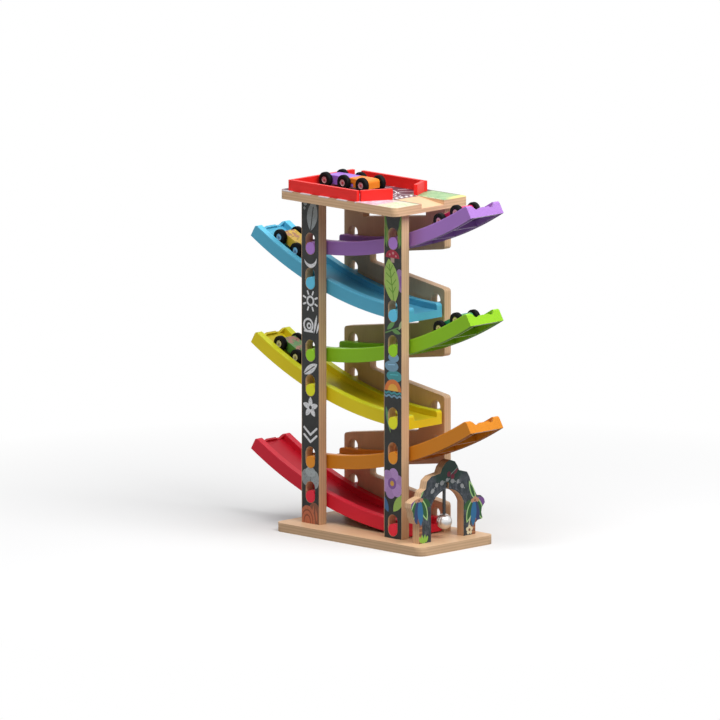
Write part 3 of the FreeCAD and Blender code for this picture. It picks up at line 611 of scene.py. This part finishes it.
ROCK = (0.032, 0.042, 0.050)
ROCK_PALE = (0.15, 0.17, 0.20)
MOSS = (0.012, 0.052, 0.036)
LEAF_DEEP = (0.030, 0.115, 0.035)
LEAF_EDGE = (0.42, 0.66, 0.26)
STEM_STRIPE = (0.46, 0.20, 0.09)
PETAL_NAVY = (0.035, 0.055, 0.16)
PETAL_BLUE = (0.035, 0.17, 0.36)
KNOB_TAN = (0.58, 0.30, 0.18)
STONE = (0.40, 0.42, 0.43)
TWIG = (0.34, 0.38, 0.36)
BERRY = (0.20, 0.020, 0.045)
BERRY_LEAF = (0.24, 0.04, 0.07)
TUFT = (0.30, 0.58, 0.08)
DAISY_STEM = (0.62, 0.60, 0.46)
DAISY_PALE = (0.78, 0.72, 0.50)

# The arch's centre above the gate's foot, the radius of its rubbed rim, and half the width of a stem.
ARCH_CENTRE = 33.4
ARCH_RIM = 36
STEM_HALF = 4.4


def rock_ground(paint, face, arch):
    """Dark cracked rock, mossy at the gate's peak, and rubbed pale along the arch."""
    cracks = paint.noise(70.0, 6.0, 0.7)
    streaks = paint.noise(260.0, 4.0, 0.7, (1, 1, 0.25))
    pale = paint.ramp(cracks, 0.50, 0.64) * 0.5 + paint.ramp(streaks, 0.5, 0.68) * 0.5
    colour = paint.mix(pale, ROCK, ROCK_PALE)
    peak = paint.inside(face.oval(2, 98, 30, 24), 8 * MM) * paint.ramp(cracks, 0.30, 0.50)
    colour = paint.mix(peak, colour, MOSS)
    rim = paint.inside(abs(arch.disc(0, 0, ARCH_RIM)) - 0.7 * MM) * paint.ramp(streaks, 0.45, 0.60)
    return paint.mix(rim, colour, ROCK_PALE)


def arch_stones(arch):
    """Seven uneven stones in a row along the arch, each with a dot beside it."""
    sizes = ((3.6, 2.8), (2.4, 3.2), (4.0, 3.0), (2.8, 2.4), (3.8, 3.3), (2.6, 3.0), (4.0, 2.7))
    stones = []
    for index, (wide, high) in enumerate(sizes):
        turn = (index - 3) * 13
        rise = 44.5 + (index % 2) * 1.8
        angle = math.radians(90 + turn)
        stone = arch.at(rise * math.cos(angle), rise * math.sin(angle), turn)
        stones += [stone.oval(0, 0, wide, high), stone.disc(wide + 1.6, 3.0 - high, 0.9)]
    return [(arch.joined(*stones), STONE)]


def berry_twig(twig):
    """A grey twig with two dark berries and a leaf."""
    berries = twig.joined(twig.disc(-5, -1, 3.6), twig.disc(2, -5, 3.6))
    leaf = twig.at(8, 1, -50).leaf(11, 4)
    return [(twig.stroke((-2, -2), (16, 9), 1.1), TWIG), (berries, BERRY), (leaf, BERRY_LEAF)]


def edged_leaf(colour, leaf, long, wide):
    """A deep green leaf with a pale edge."""
    colour = draw(colour, [(leaf.leaf(long, wide), LEAF_DEEP)])
    return draw(colour, [(abs(leaf.leaf(long - 2, wide - 2.4)) - 0.9 * MM, LEAF_EDGE)])


def petals(flower, side, sizes):
    """Pointed petals by place, turn, length, width and tint, mirrored where side is -1."""
    return [(flower.at(side * u, v, side * turn).leaf(long, wide), tint)
            for u, v, turn, long, wide, tint in sizes]


def bell_flower(colour, face, side, middle, height):
    """Long petals hanging from a tan knob, on a striped stem: green with pale edges, blue and plum."""
    flower = face.at(side * middle, height)
    stem = flower.at(-side * 1.5, -height)
    stem_up = height / 2 - 6
    colour = draw(colour, [(stem.box(0, stem_up, STEM_HALF, stem_up), EARTH)])
    colour = draw(colour, [(stem.box(0, up, STEM_HALF, 1.1), STEM_STRIPE) for up in (3, 9, 15, 21)])
    colour = edged_leaf(colour, flower.at(-side * 5, 12, side * 24), 30, 9)
    outer = ((13, -5, 60, 24, 11, toned(PLUM, 0.8)), (-13, -6, -56, 20, 10, LEAF_DEEP))
    colour = draw(colour, petals(flower, side, outer))
    for u, turn in ((-9, -22), (9, 20)):
        colour = edged_leaf(colour, flower.at(side * u, -14, side * turn), 34, 12.5)
    inner = ((4, -17, 9, 34, 9, PETAL_NAVY), (-2.5, -18, -4, 37, 10.5, PETAL_BLUE))
    colour = draw(colour, petals(flower, side, inner))
    knob = flower.joined(flower.disc(0, 0, 3.8), flower.disc(-5, -1.5, 2.7), flower.disc(5, -1.5, 2.7))
    return draw(colour, [(knob, KNOB_TAN), (flower.disc(0, -1.5, 1.5), EARTH)])


def grass_tuft(tuft):
    """Four blades, fanned out."""
    return [(tuft.at(u, 5, -u * 4).leaf(16 - abs(u), 4.2), TUFT) for u in (-6, -2, 2, 6)]


def small_daisy(flower):
    """Five round petals on a short stem."""
    round_petals = [flower.disc(4 * math.cos(angle), 4 * math.sin(angle), 2.6)
                    for angle in (0.3, 1.56, 2.8, 4.1, 5.3)]
    stem = flower.stroke((-1, 5), (1, 15), 2.0)
    return [(stem, DAISY_STEM), (flower.joined(*round_petals), DAISY_PALE), (flower.disc(0, 0, 1.9), EARTH)]


def gate_print(name):
    """Gate: bare edges, and a front printed as dark rock with flowers hanging at its sides."""
    paint = Paint(name, gloss=SATIN)
    wood, pores = wood_tone(paint, "z", "x")
    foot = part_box("base_board")[1].z
    face = flat_face(paint, paint.y - BALL_SWING["pos_m"][1], paint.z - foot)
    arch = face.at(0, ARCH_CENTRE)
    colour = rock_ground(paint, face, arch)
    colour = draw(colour, arch_stones(arch))
    colour = draw(colour, berry_twig(face.at(8, 88)))
    colour = bell_flower(colour, face, -1, 53.5, 60)
    colour = bell_flower(colour, face, 1, 52.5, 47)
    colour = draw(colour, grass_tuft(face.at(-45, 0)))
    colour = draw(colour, small_daisy(face.at(42, 7)))
    surface = paint.mix(paint.ramp(paint.nx, FACING, FACING + 0.02), wood, colour)
    return paint.finish(surface, roughness=0.40 + pores * 0.2, bump=pores, depth=PORE_DEPTH)


def painted_wood(name, tint, grain="x", roof=None):
    """Satin paint over wood, with a little of the grain showing through."""
    paint = Paint(name, gloss=SATIN)
    along = tuple(0.08 if axis == grain else 1.0 for axis in "xyz")
    fibres = paint.noise(500.0, 3.0, 0.6, along)
    cloud = paint.noise(40.0, 2.0, 0.5)
    colour = paint.mix(paint.ramp(fibres, 0.35, 0.75) * 0.35 + cloud * 0.15, tint, toned(tint, 0.8))
    if roof is not None:
        colour = roof(paint, colour)
    return paint.finish(colour, roughness=0.34 + fibres * 0.14, bump=fibres, depth=0.02 * MM)


# Where the front pegs enter their slots, and a trough's lower radius, wall height and half rib width.
PEG_START = -32.5
TROUGH_RADIUS = 580.0
WALL_HEIGHT = 18.5
RIB_HALF = 21.5

# How much brighter the plastic is painted on its rims and pegs, as a painted highlight, and how much of its
# colour is left underneath it, as painted shade.
RIM_PEG_HIGHLIGHT = 1.3
UNDERSIDE_SHADE = 0.28


def trough_height(paint, low, high):
    """Height above a trough's curved lower edge, which is lowest at the box's end nearer the middle."""
    foot = high.x if low.x + high.x < 0 else low.x
    radius = TROUGH_RADIUS * MM
    return radius - paint.length(paint.x - foot, paint.z - (low.z + radius))


def moulded(node, tint):
    """Moulded plastic with faint flow marks, a painted highlight on its rims, pegs and rib edges, and
    painted shade underneath.
    """
    paint = Paint(f"{node}_plastic", gloss=0.25)
    low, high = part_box(node)
    cloud = paint.noise(18.0, 2.0, 0.5)
    grain = paint.noise(1400.0, 2.0, 0.5)
    colour = paint.mix(paint.ramp(cloud, 0.3, 0.75), tint, toned(tint, 0.94))
    height = trough_height(paint, low, high)
    # The rims' tops and the pegs' fronts are painted lighter: a painted highlight.
    rim = paint.ramp(height, (WALL_HEIGHT - 2.0) * MM, WALL_HEIGHT * MM)
    pegs = paint.inside(paint.y - PEG_START * MM)
    painted_highlight = tuple(min(0.96, part * RIM_PEG_HIGHLIGHT + 0.01) for part in tint)
    colour = paint.mix(paint.most(rim, pegs), colour, painted_highlight)
    # Faces turned downwards are painted darker: painted shade.
    painted_shade_below = 1.0 - paint.ramp(paint.nz, -0.80, -0.60)
    colour = paint.mix(painted_shade_below, colour, toned(tint, UNDERSIDE_SHADE))
    # The lower edges of the ribs between the walls are painted pale: a painted highlight.
    between_walls = paint.inside(abs(paint.y - (low.y + high.y) / 2) - RIB_HALF * MM)
    rib_edge_highlight = painted_shade_below * between_walls * paint.inside(height - 0.5 * MM)
    colour = paint.mix(rib_edge_highlight, colour, tuple(0.5 * part + 0.45 for part in tint))
    return paint.finish(colour, roughness=0.38 + grain * 0.06)


TYRE_BLACK = (0.003, 0.003, 0.0035)
TYRE_DUST = (0.008, 0.008, 0.008)


def tyre_rubber(name):
    """Near-black rubber with a fine grain and a little dust."""
    paint = Paint(name, gloss=0.12)
    grain = paint.noise(900.0, 3.0, 0.6)
    dust = paint.noise(90.0, 3.0, 0.6)
    colour = paint.mix(paint.ramp(dust, 0.45, 0.85), TYRE_BLACK, TYRE_DUST)
    return paint.finish(colour, roughness=0.5 + grain * 0.2, bump=grain, depth=0.02 * MM)


def hub_plastic(name, tint):
    """Satin plastic, a little cloudy."""
    paint = Paint(name, gloss=SATIN)
    cloud = paint.noise(300.0, 2.0, 0.5)
    colour = paint.mix(paint.ramp(cloud, 0.3, 0.8) * 0.4, tint, toned(tint, 0.8))
    return paint.finish(colour, roughness=0.34 + cloud * 0.15)


def steel(name, tint, roughness):
    """Metal with fine turning marks."""
    paint = Paint(name, metallic=1.0)
    marks = paint.noise(260.0, 3.0, 0.6, (0.2, 0.2, 3.0))
    colour = paint.mix(marks * 0.3, tint, toned(tint, 0.8))
    return paint.finish(colour, roughness=roughness + marks * 0.08)


PLASTICS = {
    "red_ramp": (0.79, 0.018, 0.045),
    "orange_ramp": (0.76, 0.26, 0.016),
    "yellow_ramp": (0.92, 0.74, 0.016),
    "green_ramp": (0.29, 0.60, 0.015),
    "blue_ramp": (0.115, 0.51, 0.74),
    "purple_ramp": (0.41, 0.20, 0.60),
}


def cover(node, material):
    """Gives a CAD node one material."""
    mesh = NODES[node].data
    mesh.materials.clear()
    mesh.materials.append(material)


def soften(node, width, segments=2):
    """Rounds a node's sharp edges a little, as sanding leaves them."""
    piece = NODES[node]
    weld = piece.modifiers.new("weld", "WELD")
    weld.merge_threshold = 0.005 * MM
    bevel = piece.modifiers.new("edges", "BEVEL")
    bevel.width = width * MM
    bevel.segments = segments
    bevel.limit_method = "ANGLE"
    bevel.angle_limit = math.radians(35)
    bevel.harden_normals = True


FENCE_RED = (0.93, 0.018, 0.014)
SANDED_EDGES = {
    "base_board": 0.8, "back_panel": 0.5, "top_deck": 0.5,
    "front_post_left": 0.4, "front_post_right": 0.4, "gate_arch": 0.5,
}


def dress_boards():
    """Bare and printed boards with sanded edges, and red fences."""
    cover("base_board", plywood("base_plywood", "x", "z"))
    cover("back_panel", plywood("panel_plywood", "z", "y"))
    cover("top_deck", deck_print("deck_print"))
    cover("front_post_left", printed_post("left_post_print", "front_post_left", LEFT_PRINT, 0.5))
    cover("front_post_right", printed_post("right_post_print", "front_post_right", RIGHT_PRINT, 0.2))
    cover("gate_arch", gate_print("gate_print"))
    for node, width in SANDED_EDGES.items():
        soften(node, width)
    for node in ("fence_left", "fence_front", "fence_back", "funnel_front", "funnel_back"):
        grain = "y" if node == "fence_left" else "x"
        cover(node, painted_wood(f"{node}_paint", FENCE_RED, grain))
        soften(node, 0.5)


def dress_troughs():
    """Six troughs, each moulded in its own colour."""
    for node, tint in PLASTICS.items():
        cover(node, moulded(node, tint))


def blotched_roof(body, patch_tint, ground_tint):
    """Prints irregular patches on a car's roof and bonnet."""
    low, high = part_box(body)
    middle = (low.z + high.z) / 2

    def roof(paint, colour):
        upward = paint.ramp(paint.nz, 0.6, 0.7) * paint.ramp(paint.z, middle, middle + MM)
        patches = paint.noise(95.0, 2.0, 0.6)
        specks = paint.noise(260.0, 2.0, 0.6)
        colour = paint.mix(upward * 0.8, colour, ground_tint)
        colour = paint.mix(paint.ramp(patches, 0.55, 0.60) * upward, colour, patch_tint)
        return paint.mix(paint.ramp(specks, 0.60, 0.66) * upward, colour, toned(patch_tint, 0.5))
    return roof


# Each small car's paint, the patches and the ground of its roof print, its hubs, and its axles' ends.
CARS = {
    "green_car": ((0.09, 0.30, 0.04), (0.56, 0.27, 0.19), (0.20, 0.44, 0.17),
                  (0.74, 0.70, 0.40), (0.42, 0.36, 0.16)),
    "teal_car": ((0.015, 0.30, 0.13), (0.16, 0.34, 0.10), (0.05, 0.26, 0.20),
                 (0.72, 0.58, 0.30), (0.45, 0.30, 0.10)),
    "yellow_car": ((0.84, 0.56, 0.05), (0.66, 0.31, 0.18), (0.97, 0.66, 0.12),
                   (0.34, 0.62, 0.84), (0.16, 0.34, 0.60)),
    "red_car": ((0.62, 0.014, 0.10), (0.36, 0.01, 0.05), (0.66, 0.03, 0.12),
                (0.66, 0.36, 0.38), (0.40, 0.10, 0.12)),
}
LONG_CAR_REAR = (0.36, 0.15, 0.66)
LONG_CAR_FRONT = (0.90, 0.25, 0.02)
LONG_CAR_HUB = (0.62, 0.32, 0.34)
LONG_CAR_CAP = (0.56, 0.06, 0.08)
WHEEL_STEPS = 56


def arc_points(centre, radius, start, end, count):
    """Points on an arc, as (along the axle, radius), with angles in degrees from the axle's direction."""
    points = []
    for index in range(count + 1):
        angle = math.radians(start + (end - start) * index / count)
        points.append((centre[0] + radius * math.cos(angle), centre[1] + radius * math.sin(angle)))
    return points


def lathe(mesh, centre, outline, facing, material):
    """Turns an outline of (along the axle, radius) about the Y axis through a centre."""
    rings = []
    for along, radius in outline:
        y = centre.y + facing * along
        if radius == 0:
            rings.append([mesh.verts.new((centre.x, y, centre.z))])
            continue
        ring = []
        for step in range(WHEEL_STEPS):
            angle = 2 * math.pi * step / WHEEL_STEPS
            spot = (centre.x + radius * math.cos(angle), y, centre.z + radius * math.sin(angle))
            ring.append(mesh.verts.new(spot))
        rings.append(ring)
    for first, second in zip(rings, rings[1:]):
        for step in range(WHEEL_STEPS):
            following = (step + 1) % WHEEL_STEPS
            corners = [first[step % len(first)], first[following % len(first)],
                       second[following % len(second)], second[step % len(second)]]
            face = mesh.faces.new(list(dict.fromkeys(corners)))
            face.material_index = material
            face.smooth = True


def wheel_outlines(radius, width):
    """Outlines of a tyre with round shoulders, of its dished hub and of the axle's end."""
    shoulder = 1.5 * MM
    hub_radius = 4.5 * MM
    lip = 0.5 * MM
    dish = width - 0.9 * MM
    axle_end = 1.7 * MM
    proud = width - 0.5 * MM
    tyre = [(0.0, 0.0), (0.0, radius - shoulder)]
    tyre += arc_points((shoulder, radius - shoulder), shoulder, 180, 90, 5)
    tyre += arc_points((width - shoulder, radius - shoulder), shoulder, 90, 0, 5)
    tyre += arc_points((width - lip, hub_radius + lip), lip, 0, -90, 3)
    hub = [(width - lip, hub_radius), (dish, hub_radius - 0.5 * MM), (dish, axle_end + 0.6 * MM),
           (proud, axle_end + 0.2 * MM)]
    cap = [(proud, axle_end + 0.2 * MM), (width - 0.3 * MM, axle_end * 0.6), (width - 0.25 * MM, 0.0)]
    return tyre, hub, cap


def wheel_pair(label, body, rubber, hub, cap):
    """Two wheels on the ends of an axle, in place of the plain pair."""
    low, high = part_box(f"{label}_wheels")
    inner_low, inner_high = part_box(f"{label}_axle")
    outlines = wheel_outlines((high.x - low.x) / 2, high.y - inner_high.y)
    mesh = bmesh.new()
    for facing, y in ((1, inner_high.y), (-1, inner_low.y)):
        middle = Vector(((low.x + high.x) / 2, y, (low.z + high.z) / 2))
        for material, outline in enumerate(outlines):
            lathe(mesh, middle, outline, facing, material)
    bmesh.ops.remove_doubles(mesh, verts=mesh.verts, dist=0.001 * MM)
    bmesh.ops.recalc_face_normals(mesh, faces=mesh.faces)
    made = bpy.data.meshes.new(f"{label}_tyres")
    mesh.to_mesh(made)
    mesh.free()
    for material in (rubber, hub, cap):
        made.materials.append(material)
    piece = bpy.data.objects.new(f"{label}_tyres", made)
    bpy.context.scene.collection.objects.link(piece)
    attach(piece, body)
    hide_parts(f"{label}_wheels")


def dress_wheels(car, ends, rubber, bright, hub_tint, cap_tint):
    """Covers a car's axles and gives each its pair of wheels."""
    hub = hub_plastic(f"{car}_hub", hub_tint)
    cap = hub_plastic(f"{car}_cap", cap_tint)
    for end in ends:
        cover(f"{car}_{end}_axle", bright)
        wheel_pair(f"{car}_{end}", f"{car}_{end}_wheelset", rubber, hub, cap)


BRIGHT_STEEL = (0.55, 0.55, 0.56)
BALL_STEEL = (0.80, 0.79, 0.79)
ROD_BLACK = (0.085, 0.090, 0.092)


def dress_cars():
    """Four small cars with printed roofs, and the long one, all on the same tyres."""
    rubber = tyre_rubber("tyre_rubber")
    bright = steel("axle_steel", BRIGHT_STEEL, 0.3)
    for car, (tint, patch_tint, ground_tint, hub_tint, cap_tint) in CARS.items():
        roof = blotched_roof(f"{car}_body", patch_tint, ground_tint)
        cover(f"{car}_body", painted_wood(f"{car}_paint", tint, "x", roof))
        soften(f"{car}_body", 1.6, 4)
        dress_wheels(car, ("rear", "front"), rubber, bright, hub_tint, cap_tint)
    cover("long_car_rear_body", painted_wood("long_car_rear_paint", LONG_CAR_REAR))
    cover("long_car_front_body", painted_wood("long_car_front_paint", LONG_CAR_FRONT))
    soften("long_car_rear_body", 1.2, 3)
    soften("long_car_front_body", 1.6, 4)
    dress_wheels("long_car", ("rear", "middle", "front"), rubber, bright, LONG_CAR_HUB, LONG_CAR_CAP)


def dress_ball():
    """A bright ball on a dark rod, and the pin that the rod's eye turns on."""
    cover("steel_ball", steel("ball_steel", BALL_STEEL, 0.26))
    cover("ball_rod", steel("rod_steel", ROD_BLACK, 0.35))
    cover("ball_pin", steel("pin_steel", BRIGHT_STEEL, 0.3))


# The floor as the camera sees it and as it throws light back, its half width, and its fade, in metres.
FLOOR_PALE = (0.84, 0.84, 0.845)
FLOOR_BOUNCE = (0.38, 0.38, 0.38)
FLOOR_HALF = 9.0
FADE_START = 0.20
FADE_END = 0.90


def floor():
    """A plain pale floor that fades into the white background."""
    paint = Paint("floor_paint", roughness=0.9, gloss=0.0)
    camera_ray = paint.node("ShaderNodeLightPath", output="Is Camera Ray")
    paint.finish(paint.mix(camera_ray, FLOOR_BOUNCE, FLOOR_PALE))
    glow = paint.node("ShaderNodeEmission", None, {"Color": (1, 1, 1)})
    fade = paint.ramp(paint.length(paint.x, paint.y), FADE_START, FADE_END) * paint.seen_directly()
    surface = paint.node("ShaderNodeMixShader", None, {0: fade, 1: paint.surface, 2: glow})
    paint.feed(paint.output.inputs["Surface"], surface)
    mesh = bpy.data.meshes.new("floor")
    corners = [(x * FLOOR_HALF, y * FLOOR_HALF, 0) for x, y in ((-1, -1), (1, -1), (1, 1), (-1, 1))]
    mesh.from_pydata(corners, [], [(0, 1, 2, 3)])
    mesh.materials.append(paint.material)
    plane = bpy.data.objects.new("floor", mesh)
    bpy.context.scene.collection.objects.link(plane)


# The light from above: a part that grows evenly with height, and one that gathers overhead.
SKY_LOW = 0.34
SKY_HIGH = 0.93


def white_surroundings():
    """White to the camera and in reflections, and a soft light that comes mostly from overhead."""
    world = bpy.data.worlds.new("surroundings")
    bpy.context.scene.world = world
    world.use_nodes = True
    sky = Nodes(world.node_tree)
    up = sky.split(sky.node("ShaderNodeTexCoord", output="Generated"))[2]
    above = sky.most(up, 0.0)
    strength = above * SKY_LOW + above ** 3.0 * SKY_HIGH
    lit = sky.node("ShaderNodeBackground", None, {"Color": (1.0, 1.0, 1.0), "Strength": strength})
    white = sky.node("ShaderNodeBackground", None, {"Color": (1.0, 1.0, 1.0), "Strength": 1.0})
    surface = sky.node("ShaderNodeMixShader", None, {0: sky.seen_directly(), 1: lit, 2: white})
    sky.node("ShaderNodeOutputWorld", None, {"Surface": surface})


# How far off a lamp stands, how wide it is and where it aims, in metres.
LAMP_DISTANCE = 1.6
LAMP_SIZE = 0.9
LAMP_AIM = (0, 0, 0.25)


def lamp(name, towards, power):
    """A soft square lamp in a direction from the middle of the piece."""
    data = bpy.data.lights.new(name, "AREA")
    data.size = LAMP_SIZE
    data.energy = power
    made = bpy.data.objects.new(name, data)
    bpy.context.scene.collection.objects.link(made)
    way = Vector(towards).normalized()
    made.location = Vector(LAMP_AIM) + way * LAMP_DISTANCE
    made.rotation_mode = "QUATERNION"
    made.rotation_quaternion = way.to_track_quat("Z", "Y")


# The photograph's view in degrees, and its frame in mm: what it spans, and where its middle lies.
VIEW_TURN = 44.64
VIEW_TILT = 10.1
VIEW_SPAN = 957.6
VIEW_RIGHT = -32.75
VIEW_UP = 235.45
LENS = 1000.0

# How far the view reaches before the piece and beyond it, in metres.
CLIP_BEFORE = 5
CLIP_BEYOND = 30


def camera():
    """A long lens far away, at the photograph's angle."""
    turn = math.radians(VIEW_TURN)
    tilt = math.radians(VIEW_TILT)
    right = Vector((math.cos(turn), math.sin(turn), 0))
    back = Vector((math.sin(turn) * math.cos(tilt), -math.cos(turn) * math.cos(tilt), math.sin(tilt)))
    up = back.cross(right)
    data = bpy.data.cameras.new("camera")
    data.lens = LENS
    distance = VIEW_SPAN * MM * LENS / data.sensor_width
    made = bpy.data.objects.new("camera", data)
    bpy.context.scene.collection.objects.link(made)
    made.location = right * (VIEW_RIGHT * MM) + up * (VIEW_UP * MM) + back * distance
    made.rotation_mode = "QUATERNION"
    made.rotation_quaternion = back.to_track_quat("Z", "Y")
    data.clip_start = distance - CLIP_BEFORE
    data.clip_end = distance + CLIP_BEYOND
    bpy.context.scene.camera = made


camera()
dress_boards()
dress_troughs()
dress_cars()
dress_ball()
floor()
white_surroundings()
lamp("key", towards=(0.643, 0.0, 0.766), power=21)
lamp("front_fill", towards=(0.0, -0.5, 0.866), power=7.5)
bpy.context.scene.view_settings.view_transform = "Standard"
